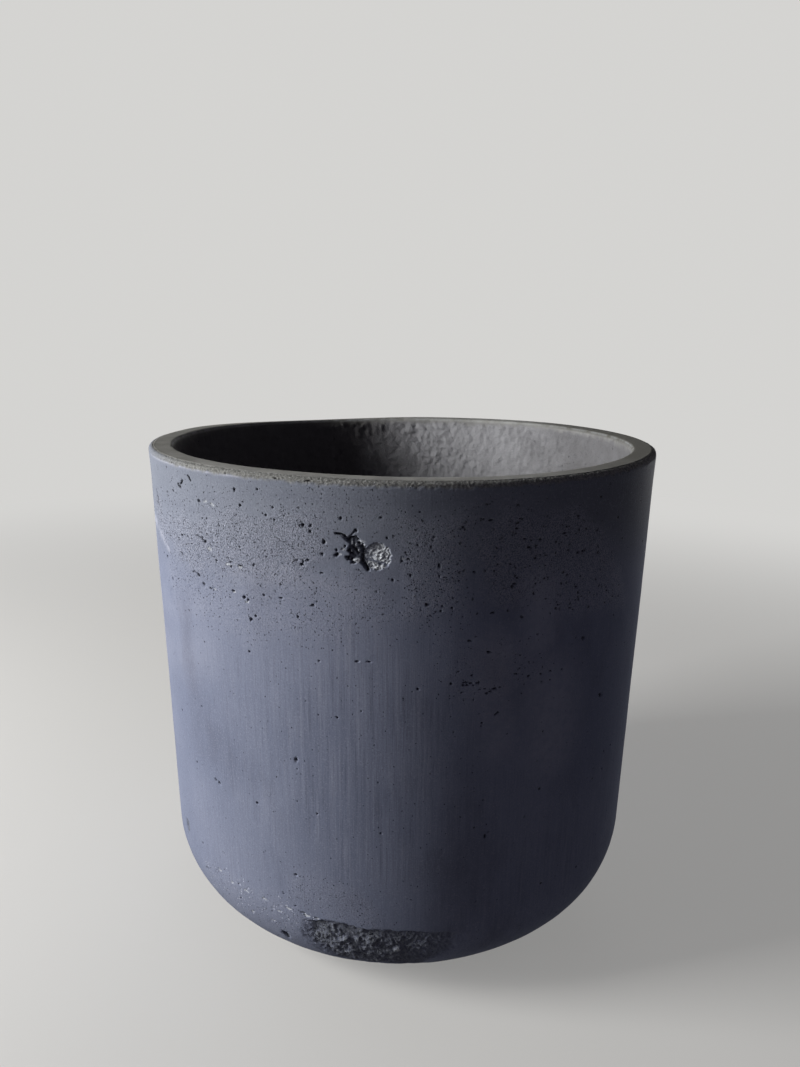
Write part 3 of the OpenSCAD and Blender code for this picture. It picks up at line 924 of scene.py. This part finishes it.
def coat_features(outline):
    """Every mark on the face coat, as places on the pot."""
    def zone(pixels):
        """Pixels as millimetres round the rim and millimetres down the outline."""
        azimuth, z = from_photo(pixels)
        return list(zip(azimuth * RIM_R, distance_down(outline, z)))

    def zones(given):
        return [(zone(pixels), *rest) for pixels, *rest in given]

    def lumps(given):
        return [place + lump[2:] for place, lump in zip(zone(given), given)]

    edge, right, left = zone(BREAK_EDGE), zone(BREAK_RIGHT), zone(BREAK_LEFT)
    under = [(right[-1][0] - 8, right[-1][1] + BREAK_UNDER), (left[0][0] + 10, left[0][1] + BREAK_UNDER)]
    pits = placed(PITS) + spread_pits()
    return {
        "pits": [(*pit, min(PIT_SINK * math.sqrt(pit[2] * pit[3]), PIT_DEEPEST)) for pit in pits],
        "cracks": [(list(zip(*from_photo(points))), width, depth) for points, width, depth in CRACKS],
        "chip": placed([SCAR, (*HOLLOW_MIDDLE, *HOLLOW_SIZE)]),
        "chip_shape": {"scar": lumps([SCAR])[0], "hollow": zone(HOLLOW), "channels": zones(CHANNELS),
                       "lumps": lumps(HOLLOW_LUMPS)},
        "knocks": placed(KNOCKS) + BACK_KNOCKS,
        "worn": [(*crumb, WORN_DEPTH) for crumb in placed(WORN)],
        "broken": {"edge": edge, "lumps": lumps(BREAK_LUMPS), "fine_from": zone([BREAK_FINE])[0][0],
                   "outline": [(x, s - BREAK_ABOVE) for x, s in edge] + right + under + left},
        "zones": {key: (zones(given), softness) for key, (given, softness) in ZONES.items()},
        "smears_and_painted_light": zones(SMEARS_AND_PAINTED_LIGHT),
    }


# The backing wall: a trowelled rim and a cavity laid up by hand

# Cracks across the flat rim: the pixels of both ends, width and depth
RIM_CRACKS = [((170.5, 445.8), (176, 444), 1.1, 0.9)]
# The middle of the light painted on the cavity's far side and its half width, as azimuths in degrees
PAINTED_LIGHT_AZIMUTH = 158
PAINTED_LIGHT_HALF = 38
# How far below the rim the far side of the cavity shows in the photograph, and between which azimuths
SHOWN_CAVITY = 72.0
SHOWN_INSIDE = (math.radians(100), math.radians(262))
# The azimuths between which the flat rim has its finest cells
SHOWN_RIM = (-1.7, 1.7)
WALL_VALUES = ("cavity", "crease", "lip", "gone", "bloom", "damp")


def rim_cracks():
    """Both ends of each crack on the plane of the rim, its width and its depth."""
    return [(*rim_from_photo(crack[:2]), *crack[2:]) for crack in RIM_CRACKS]


def wall_shell(outline, cracks):
    """Cells of the backing wall, fine on the rim and where the photograph shows the cavity."""
    shell = Shell(outline)
    lip, rim, floor, cavity = [outline.marks[name] for name in ("lip", "rim", "floor", "cavity")]
    shell.refine_band(2, (lip.first, rim.last), SHOWN_RIM)
    shell.refine_band(1, (lip.first, rim.last))
    for start, end, *_ in cracks:
        for t in np.linspace(0, 1, 9):
            x, y = start + (end - start) * t
            row = outline.row_at("rim", rim.start + math.hypot(x, y) - CAVITY_R - LIP_ROUND_R)
            shell.refine(4, math.atan2(x, -y), row, 1.6 / RIM_R, 0.35)
    shown = outline.row_at("cavity", cavity.end - SHOWN_CAVITY)
    shell.refine_band(2, (shown, cavity.last), SHOWN_INSIDE)
    shell.refine_band(1, (floor.first + 2, cavity.last))
    return shell


def wall_shape(cracks, azimuth, row, s, points, outline):
    """How deep each vertex of the backing wall is carved, and its named values."""
    depth = np.zeros(len(row))
    values = {key: np.zeros(len(row)) for key in WALL_VALUES}
    lip_row = outline.marks["lip"].first
    on_rim = (row >= lip_row) & (row <= outline.marks["rim"].last)

    # Lumps where handfuls of the mix were pressed on, with creases between them, where shade is painted
    c = np.nonzero(row >= outline.marks["floor"].first)[0]
    p = points[c]
    warped = p + np.stack([noise(p, 26, seed) for seed in (81, 82, 83)], 1) * 3
    lumps = 0.6 * np.abs(noise(warped, 17, 84)) + 0.45 * noise(warped, 10, 85)
    crumbs = 0.7 * noise(p, 6, 86) + 0.85 * noise(p, 3.4, 87) - 0.5 * np.abs(noise(p, 5, 98))
    crumbs *= 0.6 + 0.6 * ramp(noise(p, 30, 88), -0.3, 0.4)
    ragged = 0.35 * noise(p, 9, 89) + 0.25 * noise(p, 3.5, 90)
    near_lip = 1 - ramp(outline.rows - row[c] + ragged, 0.05, 0.75)
    calm = ramp(np.hypot(p[:, 0], p[:, 1]), 24, 55) * (1 - near_lip)
    depth[c] = calm * (-0.5 - lumps + crumbs)
    values["cavity"][c] = 1 - 0.6 * near_lip
    values["crease"][c] = calm * (1 - ramp(lumps, -0.3, 0.9))
    # Light painted on the far side of the cavity
    from_painted_light = np.abs(turn_between(azimuth[c], math.radians(PAINTED_LIGHT_AZIMUTH))) / math.radians(PAINTED_LIGHT_HALF)
    values["bloom"][c] = calm * (1 - ramp(from_painted_light + 0.25 * noise(p, 24, 96), 0.3, 1))
    # Shade painted on the left part of the cavity, which the rim keeps in shadow
    turn = np.degrees(turn_between(azimuth[c], math.pi)) + 6 * noise(p, 30, 99)
    values["damp"][c] = ramp(turn, 2, 18) * (1 - ramp(turn, 100, 150))

    # The flat rim: slow trowel waves, a few open pores and a chewed inner lip
    f = np.nonzero(on_rim)[0]
    q = points[f]
    depth[f] = 0.16 + 0.08 * noise(q, 28, 91) + 0.05 * np.abs(noise(q, 2.2, 92))
    # Shade painted on the rim's right side, and half as much on its left
    turn = np.degrees(azimuth[f]) + 9 * noise(q, 40, 97)
    values["damp"][f] = ramp(turn, 14, 66) * (1 - ramp(turn, 120, 150)) + 0.5 * ramp(-turn, 30, 60)
    values["lip"] = np.clip(1 - np.abs(row - (lip_row + 0.3)) / 0.5, 0, 1) * on_rim
    chew = np.clip(noise(q, 7, 93) - 0.1, 0, 1) + 0.5 * np.abs(noise(q, 2.4, 94))
    depth[f] += values["lip"][f] * 0.9 * chew
    for start, end, width, deep in cracks:
        gap = apart(*q[:, :2].T, [start, end]) + 0.3 * noise(q, 2.5, 95)
        gone = ramp(1 - gap / width, 0, 0.8)
        depth[f] += gone * deep
        # Shade painted in the crack
        values["gone"][f] = np.maximum(values["gone"][f], gone)
    return depth, values


# Materials

class Nodes:
    """Short names for the nodes that a material or the world is made of."""

    def __init__(self, tree):
        self.tree = tree
        self.coordinates = self.add("TexCoord").outputs
        self.place = self.coordinates["Object"]

    def add(self, kind, sockets=(), **settings):
        """A node with its settings, and outputs of other nodes or constants in its sockets."""
        node = self.tree.nodes.new("ShaderNode" + kind)
        for key, value in settings.items():
            setattr(node, key, value)
        self.fill(node, sockets)
        return node

    def fill(self, node, sockets):
        for key, source in dict(sockets).items():
            socket = node.inputs[key]
            if hasattr(source, "is_output"):
                self.tree.links.new(source, socket)
            else:
                socket.default_value = (*source, 1) if socket.type == "RGBA" else source

    def end(self, output, amount, a, b):
        """Ends the tree with shader a turning into shader b by amount."""
        mix = self.add("MixShader", {0: amount, 1: a.outputs[0], 2: b.outputs[0]})
        self.fill(self.tree.nodes[output], {"Surface": mix.outputs[0]})

    def scaled(self, x, y, z):
        """Object coordinates with their own scale along each axis."""
        return self.add("Mapping", {"Vector": self.place, "Scale": (x, y, z)}).outputs["Vector"]

    def noise(self, scale, detail=3, roughness=0.5, vector=None):
        sockets = {"Vector": vector or self.place, "Scale": scale, "Detail": detail, "Roughness": roughness}
        return self.add("TexNoise", sockets).outputs["Fac"]

    def value(self, name):
        """A named value of the mesh."""
        return self.add("Attribute", attribute_name=name).outputs["Fac"]

    def math(self, operation, *values):
        return self.add("Math", enumerate(values), operation=operation).outputs[0]

    def times(self, a, b):
        return self.math("MULTIPLY", a, b)

    def between(self, value, low, high, end=1, start=0):
        """A value that goes from start to end between low and high, with smooth ends."""
        sockets = {"Value": value, "From Min": low, "From Max": high, "To Min": start, "To Max": end}
        return self.add("MapRange", sockets, interpolation_type="SMOOTHSTEP").outputs["Result"]

    def painted(self, colour, *layers):
        """A colour with others painted over it, each by its amount."""
        for amount, over in layers:
            colour = self.add("Mix", {0: amount, 6: colour, 7: over}, data_type="RGBA").outputs[2]
        return colour

    def bump(self, height, distance, strength=1, **normal):
        sockets = {"Height": height, "Distance": distance, "Strength": strength, **normal}
        return self.add("Bump", sockets).outputs["Normal"]

    def pores(self, scale, narrow, wide, share):
        """Scattered ragged holes: their slopes and their narrower middles, which take the paint. Share is how
        many there are.
        """
        ragged = self.add("TexNoise", {"Vector": self.place, "Scale": PORE_RAG_SCALE * scale}).outputs["Color"]
        pushed = {0: ragged, 1: (PORE_RAG / scale,) * 3, 2: self.place}
        vector = self.add("VectorMath", pushed, operation="MULTIPLY_ADD").outputs[0]
        dots = self.add("TexVoronoi", {"Vector": vector, "Scale": scale}).outputs
        chance = self.add("SeparateColor", {0: dots["Color"]}).outputs
        chosen = self.math("GREATER_THAN", share, chance[0])
        width = self.between(chance[1], 0, 1, wide, narrow)
        slope = self.between(dots["Distance"], width, self.times(width, 0.4))
        middle = self.between(dots["Distance"], self.times(width, 0.85), self.times(width, 0.35))
        return self.times(slope, chosen), self.times(middle, chosen)


# How fine the noise is that makes the pores ragged, for their scale, and how far it pushes their edges
PORE_RAG_SCALE = 1.8
PORE_RAG = 0.9
# Next to no shine: the lime wash and the cement are dry
DRY = 0.03
RUBBER = (0.022, 0.022, 0.024)
COAT_BLUE = (0.165, 0.187, 0.262)
COAT_PALE = (0.202, 0.224, 0.303)
COAT_DARK = (0.118, 0.128, 0.178)
COAT_GREY = (0.188, 0.204, 0.230)
WASH_AND_LIGHT_PALE = (0.360, 0.375, 0.450)
BODY_PALE = (0.370, 0.385, 0.405)
SCAR_PALE_AND_HIGHLIGHT = (0.520, 0.545, 0.575)
FLECK_PALE = (0.440, 0.470, 0.580)
BODY_DARK_AND_SHADE = (0.062, 0.064, 0.070)
PAINTED_PIT_SHADE = (0.012, 0.012, 0.014)
RIM_GREY = (0.340, 0.340, 0.325)
RIM_DARK = (0.140, 0.141, 0.134)
RIM_PALE = (0.275, 0.278, 0.270)
RIM_PAINTED_SHADE = (0.120, 0.118, 0.106)
CAVITY_GREY = (0.212, 0.213, 0.226)
CAVITY_PAINTED_LIGHT = (0.325, 0.328, 0.346)
CAVITY_DARK = (0.140, 0.138, 0.142)
CAVITY_PAINTED_SHADE = (0.070, 0.067, 0.068)


def new_material(name, colour, roughness, specular=0.5):
    """A material, the nodes to build it from and its shader."""
    material = bpy.data.materials.new(name)
    material.use_nodes = True
    n = Nodes(material.node_tree)
    shader = n.tree.nodes["Principled BSDF"]
    n.fill(shader, {"Base Color": colour, "Roughness": roughness, "Specular IOR Level": specular})
    return material, n, shader


def coat_material():
    """The face coat: blue-grey lime wash with upright brush marks, pores, and the body where it is broken."""
    material, n, shader = new_material("face_coat", COAT_BLUE, 0.8, DRY)
    wash = n.noise(1, 5, 0.6, n.scaled(14, 14, 7))
    bands = n.noise(1, 4, 0.55, n.scaled(8, 8, 90))
    strokes = n.noise(1, 4, 0.6, n.scaled(480, 480, 10))
    hairs = n.noise(1, 3, 0.65, n.scaled(1300, 1300, 30))
    speck = n.noise(900, 2, 0.6)
    stipple = n.value("stipple")
    x, _, z = n.add("SeparateXYZ", {0: n.place}).outputs
    upper = n.between(z, 0.285, 0.365)
    brushed = n.math("MAXIMUM", n.value("strokes"), n.between(n.noise(5, 2), 0.45, 0.7, 0.6, 0.15))
    brushed = n.times(brushed, n.between(z, 0.37, 0.31))
    worn_through = n.between(n.noise(160, 4, 0.7), 0.3, 0.7, 1, 0.6)
    colour = n.painted(
        COAT_BLUE,
        (n.between(n.noise(7, 4, 0.55), 0.36, 0.66), COAT_PALE),
        (n.between(wash, 0.50, 0.74, 0.7), COAT_DARK),
        (n.times(upper, 0.65), COAT_GREY),
        (n.times(upper, n.between(bands, 0.45, 0.75, 0.25)), COAT_DARK),
        # shade painted on the right side of the upper band
        (n.times(upper, n.between(x, 0, 0.18, 0.55)), BODY_DARK_AND_SHADE),
        (n.times(brushed, n.between(strokes, 0.46, 0.74, 0.3)), WASH_AND_LIGHT_PALE),
        (n.times(brushed, n.between(strokes, 0.50, 0.28, 0.55)), COAT_DARK),
        (n.between(hairs, 0.5, 0.78, 0.45), COAT_DARK),
        (n.between(speck, 0.52, 0.78, 0.4), COAT_DARK),
        (n.between(speck, 0.48, 0.25, 0.3), WASH_AND_LIGHT_PALE),
        # the wash value: pale smears and scratches, light painted on the shaded right side and a highlight
        # painted below the rim
        (n.times(n.value("wash"), worn_through), WASH_AND_LIGHT_PALE))

    # Pores of two sizes with shade painted in their middles, most of them in the stippled zones, fewer but
    # wider at the right
    usual = n.math("MULTIPLY_ADD", upper, 0.05, 0.03)
    fewer = n.between(x, 0, 0.08, 0.25, 0.8)
    wider = n.between(x, 0, 0.08, 0.44, 0.27)
    small, small_shade = n.pores(720, 0.16, 0.40, n.math("MULTIPLY_ADD", stipple, fewer, usual))
    large_share = n.math("MULTIPLY_ADD", stipple, 0.45, n.times(usual, 0.4))
    large, large_shade = n.pores(310, 0.12, wider, large_share)
    dimples = n.noise(1100, 2, 0.6)
    fleck, fleck_pale = n.pores(430, 0.18, 0.42, n.times(n.value("flecks"), 0.9))
    colour = n.painted(
        colour,
        (n.times(stipple, n.between(dimples, 0.45, 0.3, 0.35)), BODY_DARK_AND_SHADE),
        (n.times(stipple, n.between(dimples, 0.40, 0.60, 0.6)), WASH_AND_LIGHT_PALE),
        (n.times(fleck_pale, 0.9), FLECK_PALE),
        # shade painted in the middles of the pores
        (n.times(n.math("MAXIMUM", small_shade, large_shade), 0.8), PAINTED_PIT_SHADE))

    # The body of the pot, where the coat is gone: granular, with pale and dark grains
    grains = n.noise(620, 3, 0.7)
    body = n.painted(
        COAT_DARK,
        (n.between(grains, 0.34, 0.66), COAT_GREY),
        (n.between(grains, 0.62, 0.8, 0.3), BODY_PALE),
        (n.between(n.noise(150, 4, 0.6), 0.45, 0.72, 0.35), BODY_DARK_AND_SHADE))
    edge = n.painted(
        RIM_DARK,
        (n.between(grains, 0.34, 0.66), RIM_PALE),
        (n.between(n.noise(900, 2, 0.6), 0.6, 0.72, 0.6), BODY_PALE))
    rim, rough, pale = n.value("rim"), n.value("rough"), n.value("pale")
    colour = n.painted(
        colour,
        (rough, body),
        (rim, edge),
        # pale scar and crumbs, and highlights painted on lumps in the chip and the broken patch
        (n.times(pale, n.between(grains, 0.3, 0.6, 1, 0.35)), SCAR_PALE_AND_HIGHLIGHT),
        # shade painted in pits, cracks and the chip's hollow
        (n.times(n.value("pit"), 0.9), PAINTED_PIT_SHADE))
    broken = n.math("MAXIMUM", n.math("MAXIMUM", rough, rim), pale)
    roughness = n.between(n.math("ADD", n.times(strokes, 0.5), broken), 0, 1.2, 0.95, 0.62)

    height = n.math("MULTIPLY_ADD", strokes, 0.35, n.times(hairs, 0.3))
    relief = ((speck, 0.3), (n.times(dimples, stipple), 3.4), (large, -5), (small, -3.2), (fleck, -1))
    for part, weight in relief:
        height = n.math("MULTIPLY_ADD", part, weight, height)
    normal = n.bump(grains, 0.0009, broken, Normal=n.bump(height, 0.00025))
    n.fill(shader, {"Base Color": colour, "Roughness": roughness, "Normal": normal})
    return material


def wall_material():
    """The backing wall: trowelled warm grey on the rim, pale lumpy grey in the cavity, with light and shade
    painted on both.
    """
    material, n, shader = new_material("backing_wall", CAVITY_GREY, 0.9, DRY)
    cavity, damp = n.value("cavity"), n.value("damp")
    patches = n.noise(22, 4, 0.6)
    blotch = n.noise(95, 4, 0.6)
    grains = n.noise(560, 3, 0.65)
    trowel = n.noise(60, 4, 0.6)
    # Small pores in the cavity with shade painted in them, more in some places than in others, light painted on
    # its far side, and shade painted in its creases and on its left part
    hole, hole_shade = n.pores(260, 0.16, 0.30, n.between(patches, 0.35, 0.65, 0.12, 0.01))
    inside = n.painted(
        CAVITY_GREY,
        (n.between(patches, 0.3, 0.7), n.painted(CAVITY_GREY, (0.35, CAVITY_DARK))),
        (n.between(blotch, 0.5, 0.75, 0.35), CAVITY_DARK),
        # shade painted in the creases between the lumps
        (n.times(n.value("crease"), 0.35), CAVITY_DARK),
        (n.between(grains, 0.56, 0.8, 0.45), BODY_DARK_AND_SHADE),
        # shade painted in the cavity's pores
        (n.times(hole_shade, 0.6), PAINTED_PIT_SHADE),
        # light painted on the far side of the cavity
        (n.times(n.value("bloom"), 0.9), CAVITY_PAINTED_LIGHT),
        # shade painted on the left part of the cavity
        (n.times(damp, 0.8), CAVITY_PAINTED_SHADE))
    flat = n.painted(
        RIM_GREY,
        (n.between(trowel, 0.35, 0.7), n.painted(RIM_GREY, (0.5, RIM_DARK))),
        (n.between(grains, 0.5, 0.8, 0.3), RIM_DARK),
        # shade painted on the rim's right and left sides
        (damp, RIM_PAINTED_SHADE),
        (n.between(n.noise(700, 2), 0.62, 0.75, 0.3), RIM_PALE),
        (n.times(n.value("lip"), n.between(blotch, 0.35, 0.6, 0.6)), BODY_PALE),
        # shade painted in the rim's cracks
        (n.times(n.value("gone"), 0.8), BODY_DARK_AND_SHADE))
    height = n.math("ADD", n.times(grains, 0.6), n.times(blotch, 1.1))
    height = n.math("SUBTRACT", height, n.times(hole, 1.2))
    n.fill(shader, {"Base Color": n.painted(flat, (cavity, inside)),
                    "Roughness": n.between(cavity, 0, 1, 0.92, 0.75),
                    "Normal": n.bump(height, 0.0013, n.between(cavity, 0, 1, 1, 0.15))})
    return material


def rubber_material():
    """The plug: dark rubber with a dusty bloom and fine moulding grain."""
    material, n, shader = new_material("plug_rubber", RUBBER, 0.62)
    dust = n.noise(90, 5, 0.65)
    n.fill(shader, {"Base Color": n.painted(RUBBER, (n.between(dust, 0.42, 0.78, 0.6), (0.16, 0.16, 0.155))),
                    "Roughness": n.between(dust, 0.35, 0.7, 0.85, 0.5),
                    "Normal": n.bump(n.noise(900, 2), 0.0002)})
    return material


def felt_material():
    """The pads: dark felt with loose fibres."""
    material, n, shader = new_material("pad_felt", (0.05, 0.047, 0.043), 0.98)
    fibres = n.noise(1400, 4, 0.8)
    tufts = n.noise(260, 3, 0.6)
    colour = n.painted(
        (0.028, 0.026, 0.024),
        (n.between(fibres, 0.35, 0.7), (0.10, 0.094, 0.086)),
        (n.between(tufts, 0.5, 0.8, 0.5), (0.14, 0.132, 0.12)))
    normal = n.bump(n.math("ADD", fibres, tufts), 0.0006)
    n.fill(shader, {"Base Color": colour, "Normal": normal, "Sheen Weight": 0.3})
    return material


def mat_material():
    """The buried glass fibre mat: pale strands lying every way, soaked with the mix."""
    material, n, shader = new_material("fibre_mat", (0.62, 0.61, 0.55), 0.7)
    along = n.noise(1, 3, 0.6, n.scaled(1500, 1500, 60))
    across = n.noise(1, 3, 0.6, n.scaled(60, 60, 1500))
    strands = n.math("MAXIMUM", along, across)
    colour = n.painted((0.34, 0.34, 0.32), (n.between(strands, 0.45, 0.75), (0.72, 0.71, 0.66)))
    n.fill(shader, {"Base Color": colour, "Normal": n.bump(strands, 0.0005)})
    return material


def repaint(node, material):
    """Gives a CAD node its finished material."""
    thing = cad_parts[node]
    thing.data.materials.clear()
    thing.data.materials.append(material)


# Stage

FLOOR_SIZE = 14
BACKDROP_GREY = (0.66, 0.655, 0.64)
# The floor's colour where it lights the pot
FLOOR_BOUNCE = (0.13, 0.126, 0.13)
# How much of the near floor shows the backdrop's own colour, under the pot's shadow too
FLOOR_GLOW = 0.38
# Distances from the pot between which the floor turns into the backdrop
FLOOR_FADE = (0.5, 1.9)
FILL_COLOUR = (0.94, 0.86, 1.0)
# The fill light's strength falls between these heights of the sky, so that the cavity stays deep
FILL_FALL = {"From Min": 0.0, "From Max": 0.9, "To Min": 0.074, "To Max": 0.013}
# Lamps: name, azimuth, elevation, distance, width, height, power and colour
LAMPS = [
    ("window", -77, 22, 1.85, 0.6, 0.8, 44, (1.0, 0.99, 0.97)),
    ("sill", -77, 5, 1.85, 1.2, 0.3, 10, (1.0, 0.99, 0.97)),
    ("bounce", 30, 12, 2.4, 1.0, 1.4, 1.45, (0.72, 0.69, 1.0)),
    ("back", 170, 6, 2.2, 1.1, 0.5, 9, (1.0, 1.0, 1.0)),
    ("flank", 140, 1, 2.2, 1.1, 0.2, 8, (1.0, 1.0, 1.0)),
]
# The height that the lamps point at, for the height of the pot
LAMP_AIM = 0.55


def seen_rays(n):
    """1 for rays from the camera or from a reflection or through glass, 0 for the rest."""
    ray = n.add("LightPath").outputs
    seen = n.math("MAXIMUM", ray["Is Camera Ray"], ray["Is Glossy Ray"])
    return n.math("MAXIMUM", seen, ray["Is Transmission Ray"])


def add_floor():
    """A plain pale floor that keeps the pot's shadow and turns into the backdrop far away."""
    bpy.ops.mesh.primitive_plane_add(size=FLOOR_SIZE)
    floor = bpy.context.object
    floor.name = "floor"
    material, n, shader = new_material("floor", BACKDROP_GREY, 0.95, 0)
    seen = seen_rays(n)
    n.fill(shader, {"Base Color": n.painted(FLOOR_BOUNCE, (seen, BACKDROP_GREY))})
    far = n.add("VectorMath", {0: n.place}, operation="LENGTH").outputs["Value"]
    fade = n.times(seen, n.between(far, *FLOOR_FADE, 1, FLOOR_GLOW))
    backdrop = n.add("Emission", {"Color": BACKDROP_GREY})
    n.end("Material Output", fade, shader, backdrop)
    floor.data.materials.append(material)


def add_world():
    """The pale backdrop where the camera or a reflection looks past the floor, a soft fill light elsewhere."""
    world = bpy.data.worlds.new("world")
    bpy.context.scene.world = world
    world.use_nodes = True
    n = Nodes(world.node_tree)
    up = n.add("SeparateXYZ", {0: n.coordinates["Generated"]}).outputs["Z"]
    strength = n.add("MapRange", {"Value": up, **FILL_FALL}).outputs["Result"]
    fill = n.tree.nodes["Background"]
    n.fill(fill, {"Color": FILL_COLOUR, "Strength": strength})
    backdrop = n.add("Background", {"Color": BACKDROP_GREY, "Strength": 1})
    n.end("World Output", seen_rays(n), fill, backdrop)


def add_lamps():
    """A soft window at the left with a low sill, a faint bounce from the front right, and two for the back."""
    middle = Vector((0, 0, LAMP_AIM * TOP * MM))
    for name, azimuth, elevation, distance, width, height, power, colour in LAMPS:
        data = bpy.data.lights.new(name, "AREA")
        data.shape = "RECTANGLE"
        data.size, data.size_y = width, height
        data.energy = power
        data.color = colour
        lamp = bpy.data.objects.new(name, data)
        bpy.context.collection.objects.link(lamp)
        a, e = math.radians(azimuth), math.radians(elevation)
        way = Vector((math.sin(a) * math.cos(e), -math.cos(a) * math.cos(e), math.sin(e)))
        lamp.location = middle + way * distance
        lamp.rotation_euler = way.to_track_quat("Z", "Y").to_euler()


def add_pot():
    """The coats of the pot, in place of their plain solids."""
    outline = coat_outline()
    features = coat_features(outline)
    cracks = rim_cracks()
    coat = shell_mesh("coat", coat_shell(outline, features), partial(coat_shape, features))
    wall = shell_mesh("wall", wall_shell(wall_outline(), cracks), partial(wall_shape, cracks))
    dressed = ((coat, "face_coat", coat_material()), (wall, "backing_wall", wall_material()))
    for piece, node, material in dressed:
        piece.data.materials.append(material)
        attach(piece, "pot")
        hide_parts(node)


add_camera()
add_pot()
repaint("fibre_mat", mat_material())
repaint("drain_plug", rubber_material())
felt = felt_material()
for number in range(1, 5):
    repaint(f"foot_pad_{number}", felt)
add_floor()
add_world()
add_lamps()
bpy.context.scene.view_settings.view_transform = "Standard"
